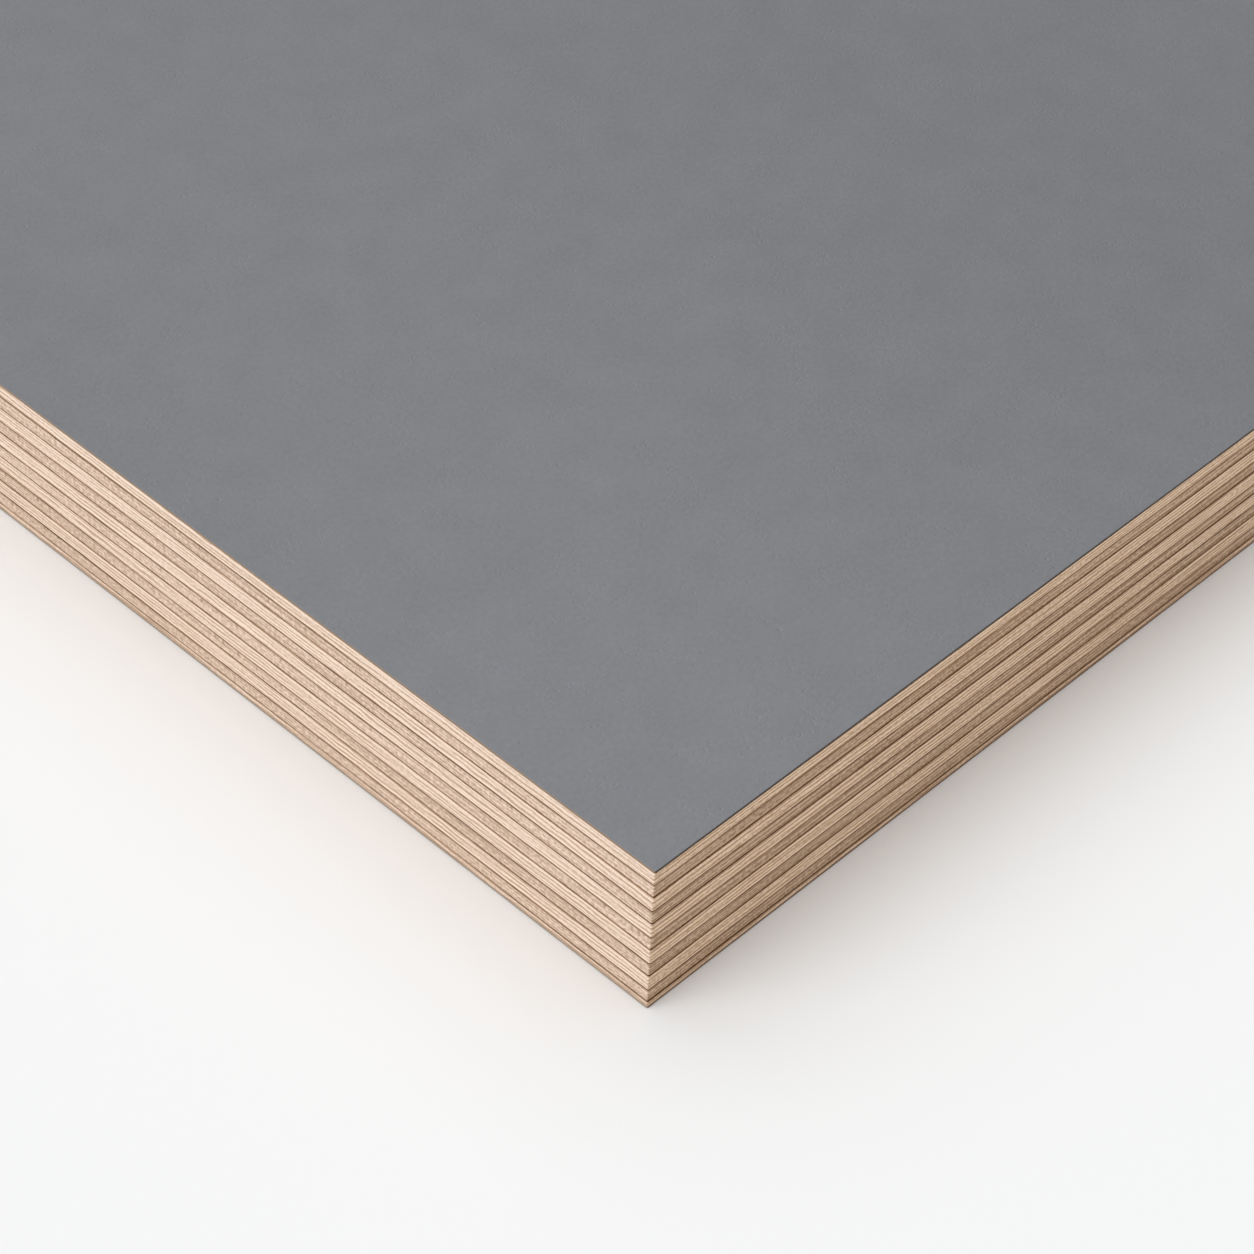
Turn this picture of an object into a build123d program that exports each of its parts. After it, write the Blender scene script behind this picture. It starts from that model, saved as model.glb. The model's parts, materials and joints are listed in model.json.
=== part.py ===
from build123d import *
import os

# Film-faced plywood sheet: eleven cross-banded veneers with a dark glue line between each two,
# and a grey resin-paper film pressed on to both faces. All sizes are in millimetres.
# The sheet lies flat on its back film, with +X along its length and its origin under its middle.

# Outline that all the layers are sawn to after pressing
sheet_length = 2440
sheet_width = 1220

# Thickness of each kind of layer. The outer veneers are sanded before the film goes on.
film_thickness = 0.25
face_veneer_thickness = 1.19
long_veneer_thickness = 1.44
cross_veneer_thickness = 1.17
back_veneer_thickness = 0.50
glue_line_thickness = 0.12

# An odd number of veneers, so that the grain of the outer two runs the same way
veneer_count = 11


def veneer(number):
    """Name and thickness of a veneer, counted from the face of the sheet."""
    if number == 1:
        return "ply_01_face", face_veneer_thickness
    if number == veneer_count:
        return f"ply_{number:02d}_back", back_veneer_thickness
    if number % 2 == 0:
        return f"ply_{number:02d}_cross", cross_veneer_thickness
    return f"ply_{number:02d}_long", long_veneer_thickness


def pressed_stack():
    """Name, underside and thickness of each film and veneer, then the undersides of the glue lines."""
    layers = [("back_film", 0, film_thickness)]
    glue_undersides = []
    height = film_thickness
    for number in range(veneer_count, 0, -1):
        name, thickness = veneer(number)
        layers.append((name, height, thickness))
        height += thickness
        if number > 1:
            glue_undersides.append(height)
            height += glue_line_thickness
    layers.append(("face_film", height, film_thickness))
    return layers, glue_undersides


os.makedirs("parts", exist_ok=True)
layers, glue_undersides = pressed_stack()

# Films and veneers, each sawn square to the sheet's outline
for name, underside, thickness in layers:
    with BuildPart() as layer:
        with BuildSketch(Plane.XY.offset(underside)):
            Rectangle(sheet_length, sheet_width)
        extrude(amount=thickness)
    layer.part.label = name
    export_step(layer.part, f"parts/{name}.step")

# Glue lines, one cured resin layer between each two veneers
with BuildPart() as glue_lines:
    for underside in glue_undersides:
        with BuildSketch(Plane.XY.offset(underside)):
            Rectangle(sheet_length, sheet_width)
        extrude(amount=glue_line_thickness)
glue_lines.part.label = "glue_lines"
export_step(glue_lines.part, "parts/glue_lines.step")
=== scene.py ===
import json
from functools import cached_property
from math import cos, radians, sin, tau

import bpy
import numpy as np
from mathutils import Matrix, Vector


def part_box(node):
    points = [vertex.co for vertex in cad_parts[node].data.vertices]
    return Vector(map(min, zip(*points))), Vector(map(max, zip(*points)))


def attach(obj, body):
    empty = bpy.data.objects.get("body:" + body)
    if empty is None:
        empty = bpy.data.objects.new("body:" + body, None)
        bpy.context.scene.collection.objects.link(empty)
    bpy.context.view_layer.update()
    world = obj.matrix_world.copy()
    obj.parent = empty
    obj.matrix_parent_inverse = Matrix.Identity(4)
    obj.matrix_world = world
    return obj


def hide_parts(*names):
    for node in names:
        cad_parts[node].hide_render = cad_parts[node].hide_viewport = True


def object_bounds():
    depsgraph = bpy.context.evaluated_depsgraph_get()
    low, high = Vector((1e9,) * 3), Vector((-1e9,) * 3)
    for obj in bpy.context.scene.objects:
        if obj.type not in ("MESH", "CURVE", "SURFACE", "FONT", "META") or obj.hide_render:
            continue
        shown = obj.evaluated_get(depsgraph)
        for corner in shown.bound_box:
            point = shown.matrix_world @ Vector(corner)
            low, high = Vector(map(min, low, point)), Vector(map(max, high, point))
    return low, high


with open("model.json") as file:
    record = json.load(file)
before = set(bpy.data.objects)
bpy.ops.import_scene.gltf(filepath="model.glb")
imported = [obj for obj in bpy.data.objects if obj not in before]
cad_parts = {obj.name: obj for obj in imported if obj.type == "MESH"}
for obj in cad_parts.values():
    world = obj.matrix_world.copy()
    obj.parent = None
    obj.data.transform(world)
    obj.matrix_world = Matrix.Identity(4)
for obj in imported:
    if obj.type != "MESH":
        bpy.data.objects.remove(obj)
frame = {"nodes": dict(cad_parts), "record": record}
cad_low, cad_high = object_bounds()

# Film-faced plywood sheet, seen at one corner. Everything is in metres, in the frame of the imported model.
mm = 0.001
half_length = cad_high.x
half_width = cad_high.y
sheet_top = cad_high.z
slot_of = {part["node"]: part["material_slot"] for part in frame["record"]["subparts"]}

# Sawn edges
outline_step = 2.3 * mm
corner_round = 0.15 * mm
corner_points = 5
veneer_arris = 0.02 * mm
film_arris = 0.04 * mm
glue_depth = 0.015 * mm
saw_step = 0.015 * mm
saw_seed = 3

# Uneven seams between the veneers: waves counted round the whole sheet, which level out within the rim
rim_width = 4 * mm
seam_wander = 0.042 * mm
seam_swell = 0.02 * mm
wander_seed = 10
swell_seed = 50
wave_count = 14
fewest_waves, most_waves = 40, 1000
wave_spread = (0.8, 1.2)

# Bake map: the sawn edge lies in rows from the bottom up, and the broad faces above them in boxes,
# each given by its left, bottom, right and top
veneer_rows, glue_rows, film_rows = 60, 20, 40
wood_map_height = 0.95
film_map_height = 0.24
row_margin = 0.1
rim_map_width = 0.05 * mm
hidden_boxes = [(0.01, 0.955, 0.49, 0.995), (0.51, 0.955, 0.99, 0.995)]
film_outer_box = (0.005, 0.25, 0.995, 0.745)
film_inner_box = (0.005, 0.76, 0.455, 0.985)

# How far a surface has turned where one finish passes into the next: round a corner, or over an arris
side_turn = (0.4, 0.8)
veneer_turn = (0.05, 0.3)
film_turn = (0.2, 0.5)

# Where the photograph shows the near top corner of the sheet, and how the camera stands to it
photo_side = 1254
corner_pixel = (655.0, 871.7)
focal_pixels = 3516
corner_distance = 248.3 * mm
camera_turn = radians(47.46)
camera_tilt = radians(43.72)
camera_roll = radians(2.66)
sensor_width = 36
near_clip = 10 * mm

# Studio: a plain sky, a broad lamp overhead and a smaller one low on the left, over a pale cove
sky_level = 0.503
top_lamp = {"strength": 1.27, "tilt": radians(15.6), "turn": radians(78), "spread": radians(95)}
side_lamp = {"strength": 0.97, "tilt": radians(50.7), "turn": radians(163), "spread": radians(41)}
floor_colour = (0.922, 0.928, 0.932, 1)
floor_roughness = 0.9
cove_start = 10
cove_reach = 40
cove_height = 8
cove_rings = 16
cove_sides = 96


class Pattern:
    """A value, colour or place that varies over a surface. Sums of patterns become nodes of its finish."""

    def __init__(self, finish, socket):
        self.finish = finish
        self.socket = socket

    def maths(self, operation, *values):
        return self.finish.node("ShaderNodeMath", {"operation": operation}, dict(enumerate(values)))

    def __add__(self, other):
        return self.maths("ADD", self, other)

    def __sub__(self, other):
        return self.maths("SUBTRACT", self, other)

    def __rsub__(self, other):
        return self.maths("SUBTRACT", other, self)

    def __mul__(self, other):
        return self.maths("MULTIPLY", self, other)

    def __truediv__(self, other):
        return self.maths("DIVIDE", self, other)

    def __abs__(self):
        return self.maths("ABSOLUTE", self)

    __radd__ = __add__
    __rmul__ = __mul__

    def ramp(self, low, high):
        """0 up to low, 1 from high, and smooth between."""
        return self.finish.node(
            "ShaderNodeMapRange",
            {"interpolation_type": "SMOOTHSTEP"},
            {"Value": self, "From Min": low, "From Max": high},
        )


class Finish:
    """The nodes of one material, or of the world."""

    def __init__(self, owner):
        self.owner = owner
        owner.use_nodes = True
        self.tree = owner.node_tree
        self.tree.nodes.clear()

    def node(self, kind, settings=None, sockets=None, output=0):
        """Adds a node of this kind. Sockets are named or counted, and take a pattern or a plain value."""
        node = self.tree.nodes.new(kind)
        for key, value in (settings or {}).items():
            setattr(node, key, value)
        for key, value in (sockets or {}).items():
            shown = [s for s in node.inputs if s.enabled]
            socket = shown[key] if isinstance(key, int) else next(s for s in shown if s.name == key)
            if isinstance(value, Pattern):
                self.tree.links.new(value.socket, socket)
            else:
                socket.default_value = value
        shown = [s for s in node.outputs if s.enabled]
        if not shown:
            return None
        return Pattern(self, shown[output] if isinstance(output, int) else node.outputs[output])

    def place(self, along, up, start):
        """Place on the sheet, in this many steps per millimetre along its edges and up through it."""
        spot = self.node("ShaderNodeTexCoord", output="Object")
        steps = (along / mm, along / mm, up / mm)
        sockets = {0: spot, 1: steps, 2: start}
        return self.node("ShaderNodeVectorMath", {"operation": "MULTIPLY_ADD"}, sockets)

    def noise(self, along, up, detail=2.0, roughness=0.5, waviness=0.0, start=(0, 0, 0)):
        """Soft random patches, from 0 to 1, with this many per millimetre along the edges and up them."""
        sockets = {
            "Vector": self.place(along, up, start),
            "Scale": 1.0,
            "Detail": detail,
            "Roughness": roughness,
            "Distortion": waviness,
        }
        return self.node("ShaderNodeTexNoise", None, sockets)

    def spread(self, **patches):
        """The same patches, from -0.5 to 0.5."""
        return self.noise(**patches) - 0.5

    def height(self):
        """Height above the underside of the sheet, in millimetres."""
        return self.node("ShaderNodeSeparateXYZ", None, {"Vector": self.place(1, 1, (0, 0, 0))}, "Z")

    def grain(self, pitch, wander):
        """Lines along the edges at this pitch in millimetres, from -1 to 1, bent by wander, in lines."""
        turn = (self.height() / pitch + wander) * tau
        return turn.maths("SINE", turn)

    def mark(self, name):
        """A value that the piece's mesh carries under this name."""
        return self.node("ShaderNodeAttribute", {"attribute_name": name}, output="Fac")

    def blend(self, share, first, second, way="MIX"):
        """The first colour with this share of the second mixed into it, or multiplied with it."""
        settings = {"data_type": "RGBA", "blend_type": way}
        return self.node("ShaderNodeMix", settings, {"Factor": share, "A": first, "B": second})

    def facing(self, axis):
        """How far the surface faces either way along this axis of the sheet, from 0 to 1."""
        normal = self.node("ShaderNodeNewGeometry", output="Normal")
        return abs(self.node("ShaderNodeSeparateXYZ", None, {"Vector": normal}, axis))

    @cached_property
    def long_side(self):
        """1 on the sheet's long sawn sides and 0 on its short ones."""
        return self.facing("Y").ramp(*side_turn)

    def by_side(self, short, long):
        """One strength on the short sawn sides and another on the long ones."""
        return short + (long - short) * self.long_side

    def surface(self, colour, roughness, shine, relief=None, depth=0.0):
        """Ends the material in a surface of this colour, roughness and shine, with relief of this depth."""
        sockets = {"Base Color": colour, "Roughness": roughness, "Specular IOR Level": shine}
        if relief is not None:
            sockets["Normal"] = self.node("ShaderNodeBump", None, {"Distance": depth, "Height": relief})
        shader = self.node("ShaderNodeBsdfPrincipled", None, sockets)
        self.node("ShaderNodeOutputMaterial", None, {"Surface": shader})
        return self.owner


class VeneerFinish(Finish):
    """What the veneers share. Heights over and under their seams are in millimetres."""

    shine = 0.1
    untinted = (1, 1, 1, 1)
    soak_patchiness = 2.4

    def __init__(self, name):
        super().__init__(bpy.data.materials.new(name))
        self.over_seam = self.mark("over_seam")
        self.under_seam = self.mark("under_seam")

    def shade_tinted(self, wood, tint):
        """The wood with this tint on the long sides, as painted shade."""
        return self.blend(1.0, wood, self.blend(self.long_side, self.untinted, tint), "MULTIPLY")

    def soaked(self, wood, resin, upper, lower):
        """The wood with resin soaked in patchily, this much from the seam above and from the seam below."""
        patches = 1 + self.soak_patchiness * self.spread(along=0.4, up=1.5, detail=3.0)
        return self.blend((upper + lower) * patches, wood, resin)

    def sawn(self, wood, broad_face):
        """The wood on the sawn edges, and one plain colour on the broad faces, which glue and film hide."""
        edge = 1 - self.facing("Z").ramp(*veneer_turn)
        return self.blend(edge, broad_face, wood)


def pale_veneer():
    """Pale birch: fine grain lines along the edge, a little wavier on the short sides."""
    finish = VeneerFinish("pale_veneer")
    over, under = finish.over_seam, finish.under_seam
    cream, honey = (0.95, 0.77, 0.635, 1), (0.60, 0.43, 0.31, 1)
    late_wood, resin = (0.40, 0.24, 0.14, 1), (0.20, 0.075, 0.012, 1)
    long_shade_tint, broad_face = (0.92, 0.855, 0.755, 1), (0.79, 0.60, 0.46, 1)

    # Grain lines, which sweep and drift by so many lines, and fade out in places
    sweep_lines, drift_lines = 3.0, 0.8
    sweep = sweep_lines * finish.noise(along=0.02, up=0.35)
    drift = drift_lines * finish.noise(along=0.015, up=1.1, detail=0.0)
    wave = finish.noise(along=0.45, up=0.8, detail=1.0) * finish.by_side(short=0.75, long=0.50)
    clear = finish.noise(along=0.2, up=1.2).ramp(low=0.30, high=0.58)
    grain = finish.grain(pitch=0.40, wander=sweep + drift + wave) * clear

    # Finer marks, the paler rim beside each seam, which is a painted highlight, and veneers that are sanded
    # thin
    streak = finish.spread(along=0.10, up=5.0, roughness=0.6, waviness=0.2)
    fibre = finish.spread(along=2.6, up=5.0, detail=1.0, roughness=0.7)
    cloud = finish.spread(along=0.03, up=0.5)
    rim = 1 - over.ramp(low=0.22, high=0.48) * under.ramp(low=0.22, high=0.48)
    thin = 1 - (over + under).ramp(low=0.6, high=1.0)

    thin_darkness, cloud_darkness = 0.45, 0.8
    darkness = finish.by_side(short=0.475, long=0.565) + thin_darkness * thin + cloud_darkness * cloud
    # Painted highlight: the paler rim beside each seam
    darkness -= rim * finish.by_side(short=0.30, long=0.16)
    darkness += grain * finish.by_side(short=0.58, long=0.94)
    darkness += fibre * finish.by_side(short=1.4, long=3.0)
    darkness += streak * finish.by_side(short=1.2, long=3.0)
    wood = finish.blend(darkness, cream, honey)
    late = grain.ramp(low=0.2, high=0.9) * finish.by_side(short=0.24, long=0.40)
    wood = finish.blend(late, wood, late_wood)
    # Painted shade: the long sides tinted warmer and darker
    wood = finish.shade_tinted(wood, long_shade_tint)

    # Resin from the seam above shows more on the long sides, but less where the veneer is thin
    upper_soak, long_soak, thin_loss = 0.50, 0.80, 0.5
    upper = upper_soak + long_soak * finish.long_side * (1 - thin_loss * thin)
    upper = upper * (1 - under.ramp(low=0.0, high=0.09))
    lower = finish.by_side(short=0.55, long=0.60) * (1 - over.ramp(low=0.0, high=0.11))
    wood = finish.soaked(wood, resin, upper, lower)

    dullness, fibre_dullness = 0.80, 0.4
    grain_relief = 0.1
    relief = streak + fibre - grain_relief * grain
    roughness = dullness + fibre_dullness * fibre
    return finish.surface(finish.sawn(wood, broad_face), roughness, finish.shine, relief, depth=0.03 * mm)


def dark_veneer():
    """Darker cross veneer: specks of cut fibre, upright nicks below the glue, and long sides painted browner
    and darker as painted shade.
    """
    finish = VeneerFinish("dark_veneer")
    over, under = finish.over_seam, finish.under_seam
    tan, umber = (0.89, 0.70, 0.57, 1), (0.515, 0.37, 0.265, 1)
    long_shade_tint, low_long_shade_tint = (0.725, 0.655, 0.565, 1), (0.615, 0.53, 0.435, 1)
    resin, broad_face = (0.19, 0.068, 0.008, 1), (0.675, 0.505, 0.385, 1)

    sweep_lines = 4.0
    grain = finish.grain(pitch=0.37, wander=sweep_lines * finish.noise(along=0.02, up=0.6))
    speck = finish.spread(along=2.8, up=3.6, detail=1.0, roughness=0.7)
    ray = finish.spread(along=1.5, up=0.9, roughness=0.6)
    streak = finish.spread(along=0.12, up=5.0, roughness=0.6, waviness=0.2)
    cloud = finish.spread(along=0.03, up=0.5)
    nick = finish.noise(along=2.2, up=0.6).ramp(low=0.60, high=0.68)
    nick = nick * (1 - under.ramp(low=0.10, high=0.70))

    middle_darkness, cloud_darkness, ray_darkness = 0.535, 0.8, 0.3
    darkness = middle_darkness + cloud_darkness * cloud + ray_darkness * ray
    darkness += speck * finish.by_side(short=2.3, long=5.6)
    darkness += grain * finish.by_side(short=0.26, long=0.93)
    darkness += streak * finish.by_side(short=1.0, long=3.2)
    wood = finish.blend(darkness, tan, umber)
    # Painted shade: the long sides tinted warmer and darker, most near each veneer's underside
    seam_shade_mask = 1 - over.ramp(low=0.20, high=0.65)
    wood = finish.shade_tinted(wood, finish.blend(seam_shade_mask, long_shade_tint, low_long_shade_tint))
    wood = finish.blend(nick * finish.by_side(short=0.42, long=0.22), wood, resin)

    upper = finish.by_side(short=0.56, long=0.61) * (1 - under.ramp(low=0.0, high=0.16))
    lower = finish.by_side(short=0.52, long=1.62) * (1 - over.ramp(low=0.0, high=0.15))
    wood = finish.soaked(wood, resin, upper, lower)

    dullness, speck_dullness = 0.82, 0.4
    ray_relief = 0.5
    relief = speck + ray_relief * ray
    roughness = dullness + speck_dullness * speck
    return finish.surface(finish.sawn(wood, broad_face), roughness, finish.shine, relief, depth=0.04 * mm)


def resin_glue():
    """Cured brown resin, dark where the seam is full and paler where it is starved."""
    finish = Finish(bpy.data.materials.new("resin_glue"))
    dark, starved = (0.056, 0.016, 0.002, 1), (0.375, 0.190, 0.085, 1)
    run = finish.spread(along=0.06, up=0.8, detail=3.0)
    fleck = finish.spread(along=0.4, up=1.5, detail=3.0)
    usual_fill, run_fill, fleck_fill = 0.62, 1.2, 1.6
    full = usual_fill + finish.mark("below_dark") * finish.by_side(short=-0.10, long=0.45)
    full = full + run_fill * run + fleck_fill * fleck
    return finish.surface(finish.blend(full, starved, dark), roughness=0.6, shine=0.05)


def grey_film():
    """Matte grey film with faint clouds, pebbling and pits. The clouds also paint light falloff, lighter at
    the near corner and darker away from it, and each pit is painted shade beside a pale speck of painted
    highlight. Its sawn edge shows the brown of the resin, painted darker on the long sides as painted shade
    and paler on the short ones as painted light.
    """
    finish = Finish(bpy.data.materials.new("grey_film"))
    grey = (0.1885, 0.1934, 0.2074, 1)
    # The sawn edge's resin brown, painted darker on the long sides as painted shade and paler on the short
    # sides as painted light; the face film's long cut is near-black painted shade
    back_long_cut_shaded, face_long_cut_shaded = (0.24, 0.13, 0.06, 1), (0.040, 0.025, 0.014, 1)
    back_short_cut_lit, face_short_cut_lit = (0.42, 0.33, 0.25, 1), (0.30, 0.20, 0.12, 1)

    # Where the clouds start, placed so that they paint the film lighter at the near corner and darker away
    # from it as painted light falloff, and how far each painted pit shade lies from its pale painted
    # highlight, both in steps of their noise
    falloff_cloud_start, pit_shade_start = (6.41, 6.33, 0.4), (0.50, -0.40, 0.0)
    cloud = finish.spread(along=0.006, up=0.006, detail=1.0, start=falloff_cloud_start)
    mottle = finish.spread(along=0.22, up=0.22, detail=3.0, roughness=0.6)
    pebble = finish.spread(along=2.2, up=2.2, roughness=0.6)
    cluster = finish.noise(along=0.35, up=0.35).ramp(low=0.38, high=0.66)
    # Pale specks beside dark pits: a painted highlight and painted shade in place of the pits' relief
    speck = finish.noise(along=4.0, up=4.0).ramp(low=0.58, high=0.72) * cluster
    pit_shade = finish.noise(along=4.0, up=4.0, start=pit_shade_start).ramp(low=0.58, high=0.72) * cluster

    plain_tone, cloud_and_falloff_tone, mottle_tone = 1.01, 0.34, 0.20
    pebble_tone, speck_highlight_tone, pit_shade_tone = 0.28, 0.26, 0.24
    tone = plain_tone + cloud_and_falloff_tone * cloud + mottle_tone * mottle
    tone = tone + pebble_tone * pebble + speck_highlight_tone * speck - pit_shade_tone * pit_shade
    film = finish.blend(1.0, grey, tone, "MULTIPLY")

    # The face film lies above the middle of the sheet and the back film below it
    on_face = finish.height().ramp(low=2.0, high=10.0)
    long_cut_shaded = finish.blend(on_face, back_long_cut_shaded, face_long_cut_shaded)
    short_cut_lit = finish.blend(on_face, back_short_cut_lit, face_short_cut_lit)
    # Painted light and shade: the paler cut on the short sides, the darker one on the long sides
    cut = finish.blend(finish.facing("X").ramp(*side_turn), long_cut_shaded, short_cut_lit)
    colour = finish.blend(finish.facing("Z").ramp(*film_turn), cut, film)

    dullness, pebble_dullness, mottle_dullness = 0.50, 0.2, 0.1
    roughness = dullness + pebble_dullness * pebble + mottle_dullness * mottle
    return finish.surface(colour, roughness, shine=0.2, relief=pebble, depth=0.012 * mm)


finishes = {maker.__name__: maker() for maker in (pale_veneer, dark_veneer, resin_glue, grey_film)}


def sawn_outline():
    """Points round the sheet, anticlockwise from above, how the edge faces there and which are corners."""
    points, facing, at_corner = [], [], []
    corners = [(-1, -1), (1, -1), (1, 1), (-1, 1)]
    inner = np.array([half_length - corner_round, half_width - corner_round])
    for number, corner in enumerate(corners):
        centre = inner * corner
        for angle in radians(180) + radians(90) * (number + np.linspace(0, 1, corner_points)):
            way = np.array([cos(angle), sin(angle)])
            points.append(centre + corner_round * way)
            facing.append(way)
            at_corner.append(True)
        run = inner * corners[(number + 1) % len(corners)] - centre
        steps = round(float(np.linalg.norm(run)) / outline_step)
        for share in np.arange(1, steps) / steps:
            points.append(centre + corner_round * facing[-1] + run * share)
            facing.append(facing[-1])
            at_corner.append(False)
    return np.array(points), np.array(facing), np.array(at_corner)


outline, outward, at_corner = sawn_outline()
legs = np.linalg.norm(np.roll(outline, -1, axis=0) - outline, axis=1)
travel = (np.cumsum(legs) - legs) / legs.sum()


def wander(seed):
    """A smooth random value round the outline, about -1 to 1, which meets itself where it started."""
    rng = np.random.default_rng(seed)
    evenly = np.geomspace(fewest_waves, most_waves, wave_count)
    turns = np.round(evenly * rng.uniform(*wave_spread, wave_count))
    heights = turns**-0.5 / np.sqrt((1 / turns).sum())
    starts = rng.uniform(0, tau, wave_count)
    waves = heights * np.sin(tau * turns * travel[:, None] + starts)
    return waves.sum(axis=1)


def layer(profile, flat_heights, edge_rows, row_pitch, first_row, boxes):
    """Corners, faces and map places of one closed layer.

    The profile lists how far in and how high each ring round the layer lies, from its underside to its top.
    Where the seams wander, flat heights are those of the underside and top from the rim inwards.
    On the map the edge is cut into rows, one above the other, and the boxes hold the underside and the top.
    """
    count = len(outline)
    rings = []
    for inset, height in profile:
        flat = outline - outward * np.reshape(inset, (-1, 1))
        rings.append(np.column_stack([flat, np.broadcast_to(height, count)]))
    if flat_heights:
        rim = outline * (1 - rim_width / half_length, 1 - rim_width / half_width)
        below, above = [np.column_stack([rim, np.full(count, height)]) for height in flat_heights]
        rings = [below, *rings, above]
    steps = [np.linalg.norm(upper - lower, axis=1).mean() for lower, upper in zip(rings, rings[1:])]
    if flat_heights:
        steps[0] = steps[-1] = rim_map_width
    rise = np.concatenate([[0.0], np.cumsum(steps)]) / sum(steps)
    rise = row_margin + (1 - 2 * row_margin) * rise
    here = np.arange(count)
    ahead = (here + 1) % count
    per_row = -(-count // edge_rows)
    row = first_row + here // per_row
    start = here % per_row / per_row
    end = start + 1 / per_row
    faces, places = [], []
    for ring in range(len(rings) - 1):
        low, high = ring * count, (ring + 1) * count
        faces += np.column_stack([low + here, low + ahead, high + ahead, high + here]).tolist()
        base, top = [row_pitch * (row + rise[number]) for number in (ring, ring + 1)]
        corners = [(start, base), (end, base), (end, top), (start, top)]
        places.append(np.stack([np.column_stack(pair) for pair in corners], axis=1).reshape(-1, 2))
    bends = np.flatnonzero(at_corner)
    broad = outline[bends] / (2 * np.array([half_length, half_width])) + 0.5
    last = (len(rings) - 1) * count
    for turn, first, (left, bottom, right, top) in zip((-1, 1), (0, last), boxes):
        faces.append((first + bends[::turn]).tolist())
        places.append(broad[::turn] * (right - left, top - bottom) + (left, bottom))
    return np.concatenate(rings), faces, np.concatenate(places)


def piece(name, layers, node, marks):
    """One object made of closed layers, which stands for a node of the frame. Its finish reads its marks."""
    points, faces, places = [], [], []
    for layer_points, layer_faces, layer_places in layers:
        first = sum(len(p) for p in points)
        points.append(layer_points)
        faces += [[first + corner for corner in face] for face in layer_faces]
        places.append(layer_places)
    mesh = bpy.data.meshes.new(name)
    mesh.from_pydata(np.concatenate(points).tolist(), [], faces)
    bake_map = mesh.uv_layers.new(name="OFBake")
    bake_map.data.foreach_set("uv", np.concatenate(places).astype(np.float32).ravel())
    for mark, values in marks.items():
        carried = mesh.attributes.new(mark, "FLOAT", "POINT")
        carried.data.foreach_set("value", np.asarray(values, np.float32).ravel())
    finish = slot_of[node]
    mesh.materials.append(finishes[finish])
    made = bpy.data.objects.new(name, mesh)
    bpy.context.scene.collection.objects.link(made)
    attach(made, "root")
    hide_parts(node)


# Veneers from the face down, how each seam between them shifts and swells, and how deep the saw cut each
veneer_nodes = sorted(name for name in frame["nodes"] if name.startswith("ply_"))
seam_count = len(veneer_nodes) - 1
seam_shift = [seam_wander * wander(wander_seed + number) for number in range(seam_count)]
seam_open = [seam_swell * wander(swell_seed + number) for number in range(seam_count)]
saw_depth = np.random.default_rng(saw_seed).uniform(0, saw_step, len(veneer_nodes))


def veneers():
    """The eleven veneers, with their arrises just broken and their seams a little uneven."""
    for number, node in enumerate(veneer_nodes):
        low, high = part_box(node)
        underside, top = np.full(len(outline), low.z), np.full(len(outline), high.z)
        if number > 0:
            top += seam_shift[number - 1] - seam_open[number - 1] / 2
        if number < seam_count:
            underside += seam_shift[number] + seam_open[number] / 2
        depth = saw_depth[number]
        profile = [
            (depth + veneer_arris, underside),
            (depth, underside + veneer_arris),
            (depth, top - veneer_arris),
            (depth + veneer_arris, top),
        ]
        pitch = wood_map_height / veneer_rows
        solid = layer(profile, (low.z, high.z), veneer_rows, pitch, 0, hidden_boxes)
        heights = solid[0][:, 2].reshape(-1, len(outline))
        marks = {"over_seam": (heights - underside) / mm, "under_seam": (top - heights) / mm}
        piece(f"veneer_{number + 1:02d}", [solid], node, marks)


def glue_seams():
    """The ten glue lines, each a thin layer set a little back from the sheet's outline."""
    pitch = wood_map_height / (glue_rows * seam_count)
    seams, below_dark = [], []
    for number, (shift, swell) in enumerate(zip(seam_shift, seam_open)):
        flat_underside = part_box(veneer_nodes[number + 1])[1].z
        flat_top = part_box(veneer_nodes[number])[0].z
        underside = flat_underside + shift - swell / 2
        top = flat_top + shift + swell / 2
        profile = [(glue_depth, underside), (glue_depth, top)]
        first_row = glue_rows * number
        seam = layer(profile, (flat_underside, flat_top), glue_rows, pitch, first_row, hidden_boxes)
        seams.append(seam)
        below_dark.append(np.full(len(seam[0]), number % 2))
    piece("glue_seams", seams, "glue_lines", {"below_dark": np.concatenate(below_dark)})


def films():
    """The film on each face, with the outer arris of its sawn edge just broken."""
    pitch = film_map_height / film_rows
    low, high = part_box("face_film")
    profile = [(0.0, low.z), (0.0, high.z - film_arris), (film_arris, high.z)]
    solid = layer(profile, None, film_rows, pitch, 0, [film_inner_box, film_outer_box])
    piece("film_on_face", [solid], "face_film", {})
    low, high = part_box("back_film")
    profile = [(film_arris, low.z), (0.0, low.z + film_arris), (0.0, high.z)]
    solid = layer(profile, None, film_rows, pitch, 0, [film_outer_box, film_inner_box])
    piece("film_on_back", [solid], "back_film", {})


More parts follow.
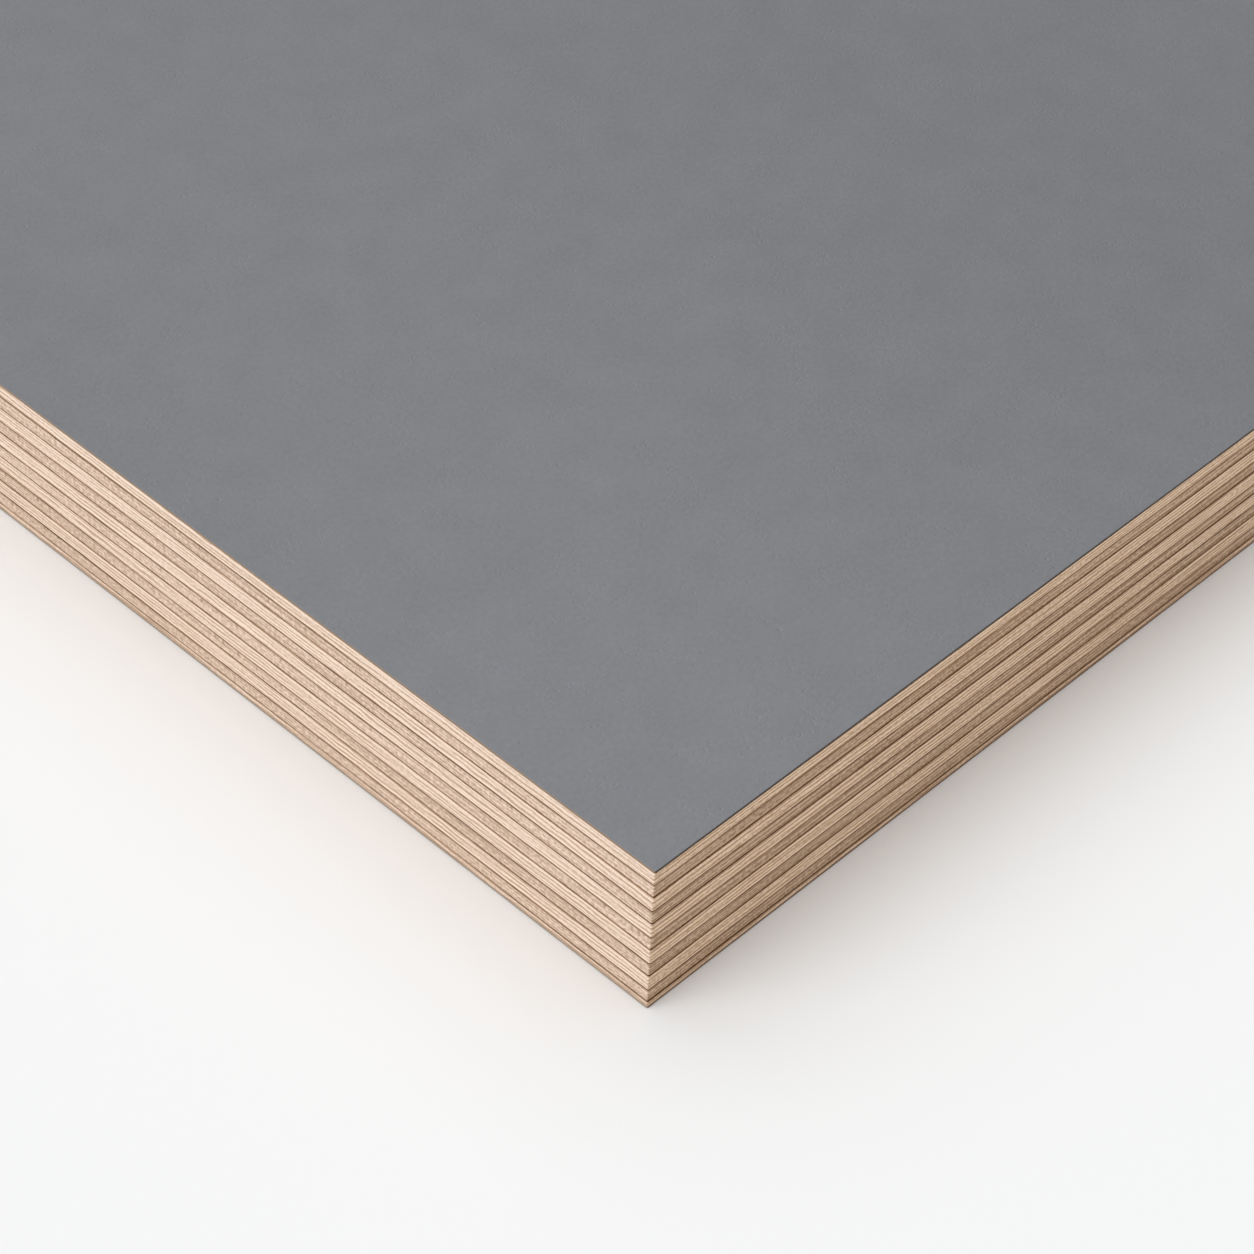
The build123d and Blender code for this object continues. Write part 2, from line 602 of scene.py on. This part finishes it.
def studio_cove():
    """A plain pale floor that sweeps up far away all round."""
    angles = np.arange(cove_sides) * tau / cove_sides
    round_it = np.column_stack([np.cos(angles), np.sin(angles)])
    rings = []
    for share in np.linspace(0, 1, cove_rings):
        reach = cove_start + (cove_reach - cove_start) * share
        rings.append(np.column_stack([reach * round_it, np.full(cove_sides, cove_height * share**2)]))
    here = np.arange(cove_sides)
    ahead = (here + 1) % cove_sides
    faces = [here.tolist()]
    for ring in range(cove_rings - 1):
        low, high = ring * cove_sides, (ring + 1) * cove_sides
        faces += np.column_stack([low + ahead, low + here, high + here, high + ahead]).tolist()
    mesh = bpy.data.meshes.new("studio_floor")
    mesh.from_pydata(np.concatenate(rings).tolist(), [], faces)
    mesh.shade_smooth()
    finish = Finish(bpy.data.materials.new("pale_floor"))
    mesh.materials.append(finish.surface(floor_colour, floor_roughness, shine=0.0))
    floor = bpy.data.objects.new("studio_floor", mesh)
    bpy.context.scene.collection.objects.link(floor)


def studio_lamp(name, strength, tilt, turn, spread):
    """A wide, soft, distant lamp, tilted away from straight overhead."""
    lamp = bpy.data.lights.new(name, "SUN")
    lamp.energy = strength
    lamp.angle = spread
    held = bpy.data.objects.new(name, lamp)
    bpy.context.scene.collection.objects.link(held)
    source = Vector((cos(turn) * sin(tilt), sin(turn) * sin(tilt), cos(tilt)))
    held.rotation_euler = source.to_track_quat("Z", "Y").to_euler()


def studio_sky():
    """An even, dim sky that fills the shadows."""
    world = bpy.data.worlds.new("studio_sky")
    bpy.context.scene.world = world
    finish = Finish(world)
    shader = finish.node("ShaderNodeBackground", None, {"Strength": sky_level})
    finish.node("ShaderNodeOutputWorld", None, {"Surface": shader})


def photo_camera():
    """Camera that shows the sheet's near corner where the photograph shows it."""
    forward = Vector(
        (sin(camera_turn) * cos(camera_tilt), cos(camera_turn) * cos(camera_tilt), -sin(camera_tilt))
    )
    level = forward.cross(Vector((0, 0, 1))).normalized()
    upright = level.cross(forward)
    right = level * cos(camera_roll) + upright * sin(camera_roll)
    up = upright * cos(camera_roll) - level * sin(camera_roll)
    corner = Vector((-half_length, -half_width, sheet_top))
    pixel = corner_distance / focal_pixels
    aside = (corner_pixel[0] - photo_side / 2) * pixel
    below = (corner_pixel[1] - photo_side / 2) * pixel
    eye = corner - right * aside + up * below - forward * corner_distance
    data = bpy.data.cameras.new("photo_camera")
    data.sensor_width = sensor_width
    data.lens = sensor_width * focal_pixels / photo_side
    data.clip_start = near_clip
    camera = bpy.data.objects.new("photo_camera", data)
    axes = Matrix((right, up, -forward)).transposed().to_4x4()
    camera.matrix_world = Matrix.Translation(eye) @ axes
    bpy.context.scene.collection.objects.link(camera)
    bpy.context.scene.camera = camera


veneers()
glue_seams()
films()
studio_cove()
studio_lamp("top_lamp", **top_lamp)
studio_lamp("side_lamp", **side_lamp)
studio_sky()
photo_camera()
bpy.context.scene.view_settings.view_transform = "Standard"
